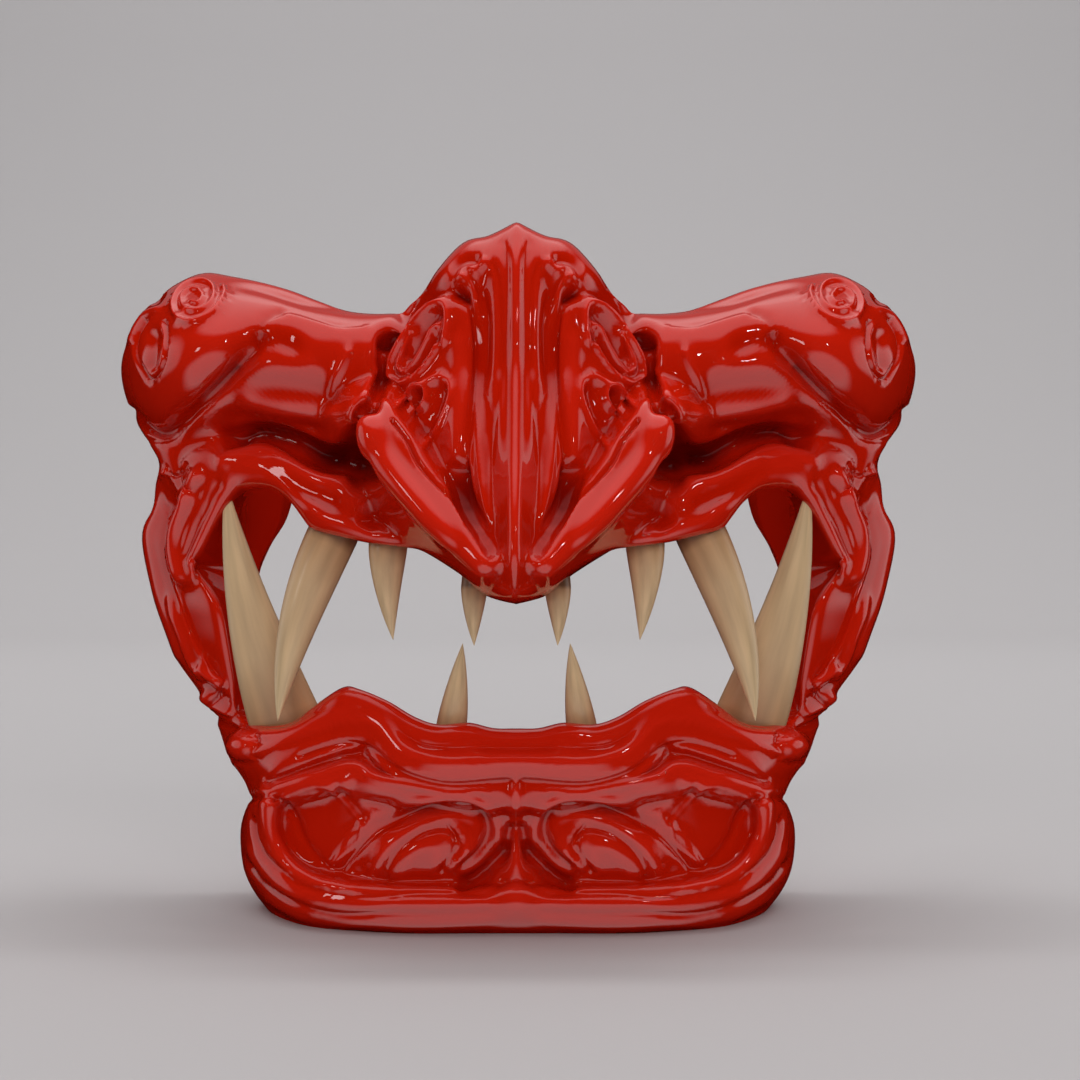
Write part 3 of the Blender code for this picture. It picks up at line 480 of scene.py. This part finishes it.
def inside(station, share):
    """The face side, from the rear rim to the mouth."""
    turn = np.radians(through(column(STATIONS, 5), station))
    turn = turn + (np.radians(through(column(STATIONS, 7), station)) - turn) * share
    z = through(column(STATIONS, 6), station)
    z = z + (through(column(STATIONS, 8), station) - z) * share
    return room(turn, z * up)


last_station = len(STATIONS) - 1
station_step = 0.15
share_step = 0.012


def outside(station, share):
    """The outer side of the wall: its front up to share 1, and behind the outline up to share 2."""
    points, x, z = front(station, np.clip(share, 0, 1))
    behind = rear(station, np.clip(share - 1, 0, 1))
    return np.where((share > 1)[..., None], behind, points), x, z


def outward(station, share):
    """The direction that the outer side faces."""
    across_step = outside(np.minimum(station + station_step, last_station), share)[0]
    across_step = across_step - outside(np.maximum(station - station_step, 0), share)[0]
    out_step = outside(station, np.minimum(share + share_step, 2))[0]
    out_step = out_step - outside(station, np.maximum(share - share_step, 0))[0]
    facing = np.cross(across_step, out_step)
    return facing / np.maximum(np.linalg.norm(facing, axis=-1, keepdims=True), 1e-12)


def carved(x, z, strokes):
    """Height in metres of the carver's fine strokes, and how near the nearest is in its own widths."""
    total = np.zeros(x.shape)
    nearest = np.full(x.shape, 99.0)
    for _, cut, width, end_width, high, end_high, line in strokes:
        line = smooth_line(line, 4)
        reach = 4 * max(width, end_width)
        near = (
            (x > line[:, 0].min() - reach) & (x < line[:, 0].max() + reach)
            & (z > line[:, 1].min() - reach) & (z < line[:, 1].max() + reach)
        )
        if not near.any():
            continue
        distance, run, side = along(x[near], z[near], line)
        wide = width + (end_width - width) * run
        tall = (high + (end_high - high) * run) / 1000
        past = distance / wide
        if cut == "roll":
            shape = (1 - np.clip(past, 0, 1) ** 2) ** 1.5
        elif cut == "ridge":
            shape = (1 - np.clip(past, 0, 1)) ** 1.4
        elif cut == "cut":
            shape = -(1 - np.clip(past, 0, 1)) ** 1.4
        elif cut == "hollow":
            shape = -np.exp(-(past**2))
        else:
            shape = np.where(side > 0, np.exp(-0.5 * past), 0.0) * (1 - np.exp(-((past / 0.5) ** 2)))
        total[near] += tall * shape
        nearest[near] = np.minimum(nearest[near], past)
    return total, nearest


def spaced(weights, count):
    """Places from 0 to 1 that share out each row of weights in equal parts."""
    total = np.concatenate([np.zeros((len(weights), 1)), np.cumsum(weights, axis=1)], axis=1)
    total /= total[:, -1:]
    grid = np.linspace(0, 1, total.shape[1])
    wanted = np.linspace(0, 1, count + 1)
    return np.stack([np.interp(wanted, row, grid) for row in total])


def eased(values, axis, times):
    """Values averaged with their neighbours along one axis."""
    values = np.moveaxis(values, axis, 0)
    for _ in range(times):
        wide = np.concatenate([values[:1], values, values[-1:]])
        values = 0.25 * (wide[:-2] + wide[2:]) + 0.5 * wide[1:-1]
    return np.moveaxis(values, 0, axis)


# A trial grid shows how long the front is from place to place, and shares out the columns and rows by it
columns = 264
front_rows = 66
rear_rows = 6
room_rows = 6
lip_rows = 2
trial = 160
even_part = 0.15
station, share = np.meshgrid(
    np.linspace(0, last_station, trial + 1), np.linspace(0, 1, trial + 1), indexing="ij"
)
around = (np.linalg.norm(np.diff(front(station, share)[0], axis=0), axis=-1) ** 2).mean(axis=1) ** 0.5
stations = last_station * spaced(eased(around[None], 1, 6), columns)[0]
station, share = np.meshgrid(stations, np.linspace(0, 1, trial + 1), indexing="ij")
steps = np.linalg.norm(np.diff(front(station, share)[0], axis=1), axis=-1)
steps = eased(eased(steps, 1, 4), 0, 8)
share = spaced(steps + even_part * steps.mean(axis=1, keepdims=True), front_rows)
ends = stations[:, None]
share = np.concatenate([share, 1 + np.linspace(0, 1, rear_rows + 1)[None, 1:] + 0 * ends], axis=1)
station = ends + 0 * share
outer, draw_x, draw_z = outside(station, share)
room_share = np.linspace(0, 1, room_rows + 1)[None] + 0 * ends
room_points = inside(ends + 0 * room_share, room_share)
lip_share = (np.arange(1, lip_rows + 1) / (lip_rows + 1))[None, :, None]
lip_points = room_points[:, -1:] + (outer[:, :1] - room_points[:, -1:]) * lip_share
points = np.concatenate([outer, room_points, lip_points], axis=1)

# How far each place lies below its surroundings in millimetres, for shade painted into the lacquer
hollow_spread = 14
level_out = eased(eased(outer, 0, hollow_spread), 1, hollow_spread)
low = ((level_out - outer) * outward(station, share)).sum(axis=-1) * 1000

# The grid is made twice as fine near narrow strokes, and again near the narrowest
fine_width = 1.3
fine_reach = 1.8
finest_width = 0.9
finest_reach = 1.5
fine_strokes = [stroke for group in (NOSE_CARVING, CHEEK_CARVING, JAW_CARVING) for stroke in group
                if min(stroke[2:4]) <= fine_width]
finest_strokes = [stroke for stroke in fine_strokes if min(stroke[2:4]) <= finest_width]
near_carving = carved(draw_x, draw_z, fine_strokes)[1] < fine_reach

mesh = bmesh.new()
round_wall = points.shape[1]
bmesh.ops.create_grid(mesh, x_segments=columns, y_segments=round_wall, size=1)
station_mark = mesh.verts.layers.float.new("station")
share_mark = mesh.verts.layers.float.new("share")
hollow_mark = mesh.verts.layers.float.new("hollow")
not_outside = -9.0
close = set()
for vert in mesh.verts:
    i = round((vert.co.x + 1) / 2 * columns)
    j = round((vert.co.y + 1) / 2 * round_wall) % round_wall
    vert.co = points[i, j]
    vert[share_mark] = not_outside
    if j < outer.shape[1]:
        vert[station_mark], vert[share_mark], vert[hollow_mark] = stations[i], share[i, j], low[i, j]
        if near_carving[i, j]:
            close.add(vert)
bmesh.ops.remove_doubles(mesh, verts=mesh.verts, dist=1e-6)
close = {vert for vert in close if vert.is_valid}
bmesh.ops.subdivide_edges(
    mesh, edges=[edge for edge in mesh.edges if close.issuperset(edge.verts)], cuts=1, use_grid_fill=True
)
finest = [vert for vert in mesh.verts if vert[share_mark] >= 0]
marks = np.array([(vert[station_mark], min(vert[share_mark], 1)) for vert in finest])
_, finest_x, finest_z = front(marks[:, 0], marks[:, 1])
finest_near = carved(finest_x, finest_z, finest_strokes)[1] < finest_reach
close = {vert for vert, near in zip(finest, finest_near) if near and vert[share_mark] <= 1}
bmesh.ops.subdivide_edges(
    mesh, edges=[edge for edge in mesh.edges if close.issuperset(edge.verts)], cuts=1, use_grid_fill=True
)

# The carving stands on the surface's own slope, so that it wraps round the knobs and the jaw. It fades out
# near the mouth's edge and towards the rear rim, and the carver's hand leaves it a little uneven.
carving_start = 1 / 8
hand_height = 0.00012
hand_scale = 60
hand_detail = 130
middle_reach = 0.00004
verts = [vert for vert in mesh.verts if vert[share_mark] >= 0]
station = np.array([vert[station_mark] for vert in verts])
share = np.array([vert[share_mark] for vert in verts])
outer, draw_x, draw_z = outside(station, share)
relief = 0
for strokes in (NOSE_CARVING, CHEEK_CARVING, LIP_CARVING, JAW_CARVING):
    relief = relief + carved(draw_x, draw_z, strokes)[0]
fade = np.clip(share / carving_start, 0, 1) ** 1.5 * np.clip(2 - share, 0, 1) ** 2
hand = np.array([
    noise.noise(Vector(spot) * hand_scale) + 0.5 * noise.noise(Vector(spot) * hand_detail) for spot in outer
])
outer = outer + outward(station, share) * ((relief + hand_height * hand) * fade)[..., None]
for vert, spot, rise in zip(verts, outer, relief * fade):
    vert.co = spot
    vert[hollow_mark] -= 1000 * rise
for _ in range(3):
    bmesh.ops.smooth_vert(
        mesh, verts=verts, factor=0.5, use_axis_x=True, use_axis_y=True, use_axis_z=True
    )
for vert in mesh.verts:
    in_middle = vert[share_mark] >= 0 and not 0 < vert[station_mark] < last_station
    if in_middle or abs(vert.co.x) < middle_reach:
        vert.co.x = 0
bmesh.ops.translate(mesh, vec=(0, shell_back, -foot_cut), verts=mesh.verts)
bmesh.ops.mirror(mesh, geom=mesh.verts[:] + mesh.edges[:] + mesh.faces[:], axis="X", merge_dist=1e-6)
bmesh.ops.bisect_plane(
    mesh, geom=mesh.verts[:] + mesh.edges[:] + mesh.faces[:], plane_co=(0, 0, 0), plane_no=(0, 0, 1),
    clear_inner=True,
)
bmesh.ops.holes_fill(mesh, edges=[edge for edge in mesh.edges if edge.is_boundary], sides=0)
bmesh.ops.recalc_face_normals(mesh, faces=mesh.faces)
shell_data = bpy.data.meshes.new("red_shell")
mesh.to_mesh(shell_data)
mesh.free()
shell_data.shade_smooth()
shell = bpy.data.objects.new("red_shell", shell_data)
bpy.context.scene.collection.objects.link(shell)

lacquer = bpy.data.materials.new("red_lacquer")
lacquer.use_nodes = True
shader = lacquer.node_tree.nodes["Principled BSDF"]
shader.inputs["Roughness"].default_value = 0.35
shader.inputs["Specular IOR Level"].default_value = 0.0
shader.inputs["Coat Roughness"].default_value = 0.04
nodes, links = lacquer.node_tree.nodes, lacquer.node_tree.links
# The base colour is painted shade: lighter red on raised places, near black in the deepest hollows.
depth_mark = nodes.new("ShaderNodeAttribute")
depth_mark.attribute_name = "hollow"
ramp = nodes.new("ShaderNodeValToRGB")
ramp.color_ramp.elements[0].position = 0.0
ramp.color_ramp.elements[0].color = (0.56, 0.013, 0.004, 1)
ramp.color_ramp.elements[1].position = 1.0
ramp.color_ramp.elements[1].color = (0.10, 0.0012, 0.0008, 1)
for position, colour in ((0.3, (0.46, 0.0085, 0.0008, 1)), (0.55, (0.40, 0.0065, 0.0006, 1))):
    ramp.color_ramp.elements.new(position).color = colour
spread = nodes.new("ShaderNodeMapRange")
spread.inputs["From Min"].default_value = -1.5
spread.inputs["From Max"].default_value = 4.6
links.new(depth_mark.outputs["Fac"], spread.inputs["Value"])
links.new(spread.outputs["Result"], ramp.inputs["Fac"])
links.new(ramp.outputs["Color"], shader.inputs["Base Color"])
# The coat is weakened in the hollows as painted shade on the reflections there.
coat_shaded_in_hollows = nodes.new("ShaderNodeMapRange")
coat_shaded_in_hollows.inputs["From Min"].default_value = 0.5
coat_shaded_in_hollows.inputs["From Max"].default_value = 4.0
coat_shaded_in_hollows.inputs["To Min"].default_value = 1.0
coat_shaded_in_hollows.inputs["To Max"].default_value = 0.2
links.new(depth_mark.outputs["Fac"], coat_shaded_in_hollows.inputs["Value"])
links.new(coat_shaded_in_hollows.outputs["Result"], shader.inputs["Coat Weight"])
shell_data.materials.append(lacquer)
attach(shell, "root")
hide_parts("face_shell")

# The teeth: ten pointed pieces of wood painted ivory over a white ground, each glued in its socket in the
# gum. The tusks are thick at the foot and curl outwards, and the fangs hang in front of them.
tooth_sides = 36
tooth_rings = 48
socket_depth = 0.0055
root_width = 0.46
tip_taper = 0.985
facet_depth = 0.018
facet_turn = 0.001
facet_rings = 9
INNER_TOOTH_BASE = 0.0054
OUTER_TOOTH_BASE = 0.0082
UPPER_FANG_BASE = 0.0108
LOWER_TUSK_BASE = 0.0160
LOWER_TOOTH_BASE = 0.0064

# Name, base, flatness, taper, station and depth of the seat in the gum, then bend and tip: across, up, back
TEETH = (
    ("upper_inner_tooth", INNER_TOOTH_BASE, 0.9, 1.6, 1.45, 0.45, 10.8, 80, -37, 10.5, 72.5, -38),
    ("upper_outer_tooth", OUTER_TOOTH_BASE, 0.8, 1.6, 4.45, 0.45, 33, 87, -27, 31.0, 74.0, -28),
    ("upper_fang", UPPER_FANG_BASE, 0.75, 2.0, 6.05, 0.45, 57.5, 77, -24, 60.0, 53.5, -26),
    ("lower_tusk", LOWER_TUSK_BASE, 0.6, 1.35, 24.75, 0.5, 70.0, 84, -12, 73.4, 114.0, -12),
    ("lower_tooth", LOWER_TOOTH_BASE, 0.9, 1.9, 31.45, 0.42, 15.0, 61, -30, 13.5, 73.0, -29),
)

ivory = bpy.data.materials.new("ivory_paint")
ivory.use_nodes = True
shader = ivory.node_tree.nodes["Principled BSDF"]
shader.inputs["Roughness"].default_value = 0.42
shader.inputs["Coat Weight"].default_value = 0.2
shader.inputs["Coat Roughness"].default_value = 0.15
nodes, links = ivory.node_tree.nodes, ivory.node_tree.links
grain = nodes.new("ShaderNodeAttribute")
grain.attribute_name = "grain"
from_root = nodes.new("ShaderNodeSeparateXYZ")
links.new(grain.outputs["Vector"], from_root.inputs["Vector"])
# Painted shade: the ivory turns dark brown at each root, where the tooth meets the gum.
ivory_shaded_at_root = nodes.new("ShaderNodeValToRGB")
ivory_shaded_at_root.color_ramp.elements[0].position = 0.02
ivory_shaded_at_root.color_ramp.elements[0].color = (0.17, 0.075, 0.03, 1)
ivory_shaded_at_root.color_ramp.elements[1].position = 1.0
ivory_shaded_at_root.color_ramp.elements[1].color = (0.60, 0.43, 0.24, 1)
for position, colour in ((0.09, (0.42, 0.24, 0.115, 1)), (0.3, (0.52, 0.345, 0.19, 1))):
    ivory_shaded_at_root.color_ramp.elements.new(position).color = colour
links.new(from_root.outputs["Z"], ivory_shaded_at_root.inputs["Fac"])
streak_place = nodes.new("ShaderNodeMapping")
streak_place.inputs["Scale"].default_value = (1.2, 1.2, 1.6)
links.new(grain.outputs["Vector"], streak_place.inputs["Vector"])
streaks = nodes.new("ShaderNodeTexNoise")
streaks.inputs["Scale"].default_value = 1.6
streaks.inputs["Detail"].default_value = 5.0
links.new(streak_place.outputs["Vector"], streaks.inputs["Vector"])
streak_shade = nodes.new("ShaderNodeMapRange")
streak_shade.inputs["From Min"].default_value = 0.3
streak_shade.inputs["From Max"].default_value = 0.7
streak_shade.inputs["To Min"].default_value = 0.82
streak_shade.inputs["To Max"].default_value = 1.08
links.new(streaks.outputs["Fac"], streak_shade.inputs["Value"])
streaked = nodes.new("ShaderNodeVectorMath")
streaked.operation = "SCALE"
links.new(ivory_shaded_at_root.outputs["Color"], streaked.inputs[0])
links.new(streak_shade.outputs["Result"], streaked.inputs["Scale"])
links.new(streaked.outputs["Vector"], shader.inputs["Base Color"])
rub = nodes.new("ShaderNodeBump")
rub.inputs["Strength"].default_value = 0.15
rub.inputs["Distance"].default_value = 0.0004
links.new(streaks.outputs["Fac"], rub.inputs["Height"])
links.new(rub.outputs["Normal"], shader.inputs["Normal"])

for name, base, flatness, taper, seat, seat_depth, bend_x, bend_z, bend_y, tip_x, tip_z, tip_y in TEETH:
    seat = np.array([[seat]])
    mouth_edge = front(seat, np.zeros((1, 1)))[0][0, 0]
    mouth = mouth_edge + (inside(seat, np.ones((1, 1)))[0, 0] - mouth_edge) * seat_depth
    bend = sight(bend_x * across, np.float64(bend_y * back), bend_z * up)
    tip = sight(tip_x * across, np.float64(tip_y * back), tip_z * up)
    lead = (bend - mouth) / np.linalg.norm(bend - mouth)
    spots = [(mouth - lead * socket_depth, root_width * base)]
    for i in range(tooth_rings + 1):
        t = i / tooth_rings
        centre = mouth * (1 - t) ** 2 + 2 * bend * t * (1 - t) + tip * t**2
        spots.append((centre, 0.5 * base * (1 - tip_taper * t**taper)))
    centres = np.array([centre for centre, _ in spots]) + (0, shell_back, -foot_cut)
    runs = np.gradient(centres, axis=0)
    for side, hand_side in (("right", 1), ("left", -1)):
        mesh = bmesh.new()
        grain_mark = mesh.verts.layers.float_vector.new("grain")
        loop = bmesh.ops.create_circle(mesh, segments=tooth_sides, radius=1, cap_ends=True)["verts"]
        unit = [vert.co.copy() for vert in loop]
        face = mesh.faces[:][0]
        for k, (_, radius) in enumerate(spots):
            if k:
                face = bmesh.ops.extrude_discrete_faces(mesh, faces=[face])["faces"][0]
                loop = list(face.verts)
            run = runs[k] / np.linalg.norm(runs[k])
            level = np.cross(run, (0, 1, 0))
            level /= np.linalg.norm(level)
            deep = np.cross(level, run)
            for vert, spot in zip(loop, unit):
                turn = math.atan2(spot.y, spot.x)
                facets = math.cos(3 * turn + base / facet_turn) + math.cos(2 * turn + k / facet_rings)
                cut = radius * (1 + facet_depth * facets)
                vert.co = centres[k] + cut * (spot.x * level + spot.y * flatness * deep)
                vert[grain_mark] = (spot.x, spot.y, k / len(spots))
                vert.co.x *= hand_side
        bmesh.ops.holes_fill(mesh, edges=[edge for edge in mesh.edges if edge.is_boundary], sides=0)
        bmesh.ops.recalc_face_normals(mesh, faces=mesh.faces)
        tooth_data = bpy.data.meshes.new(f"{name}_{side}_ivory")
        mesh.to_mesh(tooth_data)
        mesh.free()
        tooth_data.shade_smooth()
        tooth_data.materials.append(ivory)
        tooth = bpy.data.objects.new(f"{name}_{side}_ivory", tooth_data)
        bpy.context.scene.collection.objects.link(tooth)
        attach(tooth, "root")
        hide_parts(f"{name}_{side}")

# The studio: a pale grey sweep of paper, a floor that curves up into a wall behind the mask, and a paper
# drum round it all, so that no other view looks past the sweep. The camera stands in front of the mask,
# level with it.
paper_reach = 4.0
bend_start = 1.2
bend_radius = 0.8
wall_top = 3.5
drum_radius = 3.9
drum_height = 5
drum_middle = 2.4
mesh = bmesh.new()
profile = [(-paper_reach, 0.0), (bend_start, 0.0)]
profile += [
    (bend_start + bend_radius * math.sin(turn), bend_radius - bend_radius * math.cos(turn))
    for turn in np.linspace(0.1, math.pi / 2, 12)
]
profile += [(bend_start + bend_radius, wall_top)]
sweep = [mesh.verts.new((-paper_reach, y, z)) for y, z in profile]
strip = [mesh.edges.new(pair) for pair in zip(sweep[:-1], sweep[1:])]
made = bmesh.ops.extrude_edge_only(mesh, edges=strip)["geom"]
far_side = [item for item in made if isinstance(item, bmesh.types.BMVert)]
bmesh.ops.translate(mesh, vec=(2 * paper_reach, 0, 0), verts=far_side)
bmesh.ops.recalc_face_normals(mesh, faces=mesh.faces)
paper_data = bpy.data.meshes.new("paper_sweep")
mesh.to_mesh(paper_data)
mesh.free()
paper_data.shade_smooth()
paper = bpy.data.objects.new("paper_sweep", paper_data)
bpy.context.scene.collection.objects.link(paper)
paper_grey = bpy.data.materials.new("pale_paper")
paper_grey.use_nodes = True
shader = paper_grey.node_tree.nodes["Principled BSDF"]
shader.inputs["Base Color"].default_value = (0.43, 0.415, 0.42, 1)
shader.inputs["Roughness"].default_value = 0.8
paper_data.materials.append(paper_grey)
paper.visible_glossy = False

mesh = bmesh.new()
bmesh.ops.create_cone(mesh, segments=96, radius1=drum_radius, radius2=drum_radius, depth=drum_height)
bmesh.ops.translate(mesh, vec=(0, 0, drum_middle), verts=mesh.verts)
bmesh.ops.reverse_faces(mesh, faces=mesh.faces)
surround_data = bpy.data.meshes.new("paper_surround")
mesh.to_mesh(surround_data)
mesh.free()
surround_data.shade_smooth()
surround = bpy.data.objects.new("paper_surround", surround_data)
bpy.context.scene.collection.objects.link(surround)
surround_data.materials.append(paper_grey)
surround.visible_glossy = surround.visible_diffuse = surround.visible_shadow = False


def soft_box(name, place, size, power, mirrored=True, aim=(0, 0, 0.08)):
    """A lamp panel that points at the mask, or at aim, and may be left out of reflections."""
    light = bpy.data.lights.new(name, "AREA")
    light.shape = "RECTANGLE"
    light.size, light.size_y = size
    light.energy = power
    lamp = bpy.data.objects.new(name, light)
    bpy.context.scene.collection.objects.link(lamp)
    lamp.visible_glossy = mirrored
    lamp.location = place
    lamp.rotation_euler = (Vector(aim) - Vector(place)).to_track_quat("-Z", "Y").to_euler()


soft_box("small_box_right", (0.42, -0.75, 0.62), (0.06, 0.045), 0.35)
soft_box("small_box_left", (-0.75, -0.75, 0.45), (0.14, 0.2), 0.6)
soft_box("front_fill", (0.1, -1.6, 0.75), (1.2, 0.9), 15.5, mirrored=False)
soft_box("rear_box", (0.0, 1.0, 0.9), (1.6, 0.9), 0.8)
soft_box("backdrop_box", (0.0, 0.5, 2.4), (2.4, 0.6), 50, mirrored=False, aim=(0.0, 2.0, 1.0))

# Large white panels far off light the mask evenly, and are what the lacquer mirrors: direction, how near to
# it (as a cosine) the panel starts and is full, strength
PANELS = (
    ("left_wall", (-0.97, 0.12, 0.16), 0.88, 0.95, 0.9),
    ("right_wall", (0.97, 0.12, 0.16), 0.88, 0.95, 1.2),
    ("ceiling", (0.0, 0.12, 1.0), 0.70, 0.86, 1.2),
    ("floor_glow", (0.0, -0.66, -0.76), 0.54, 0.80, 1.3),
)
world = bpy.data.worlds.new("studio")
world.use_nodes = True
nodes, links = world.node_tree.nodes, world.node_tree.links
direction = nodes.new("ShaderNodeTexCoord")
total = None
for name, aim, start, full, strength in PANELS:
    dot = nodes.new("ShaderNodeVectorMath")
    dot.label = name
    dot.operation = "DOT_PRODUCT"
    dot.inputs[1].default_value = Vector(aim).normalized()
    links.new(direction.outputs["Generated"], dot.inputs[0])
    lobe = nodes.new("ShaderNodeMapRange")
    lobe.interpolation_type = "SMOOTHSTEP"
    lobe.inputs["From Min"].default_value = start
    lobe.inputs["From Max"].default_value = full
    lobe.inputs["To Max"].default_value = strength
    links.new(dot.outputs["Value"], lobe.inputs["Value"])
    if total is None:
        total = lobe.outputs["Result"]
    else:
        add = nodes.new("ShaderNodeMath")
        add.operation = "ADD"
        links.new(total, add.inputs[0])
        links.new(lobe.outputs["Result"], add.inputs[1])
        total = add.outputs["Value"]
nodes["Background"].inputs["Color"].default_value = (1.0, 0.985, 0.98, 1)
links.new(total, nodes["Background"].inputs["Strength"])
bpy.context.scene.world = world

lens = bpy.data.cameras.new("camera")
lens.lens = 65
lens.sensor_width = 36
camera = bpy.data.objects.new("camera", lens)
bpy.context.scene.collection.objects.link(camera)
camera.location = (0.00498, -0.43545, 0.0822)
camera.rotation_euler = (math.pi / 2, 0, 0)
bpy.context.scene.camera = camera
bpy.context.scene.view_settings.view_transform = "Standard"
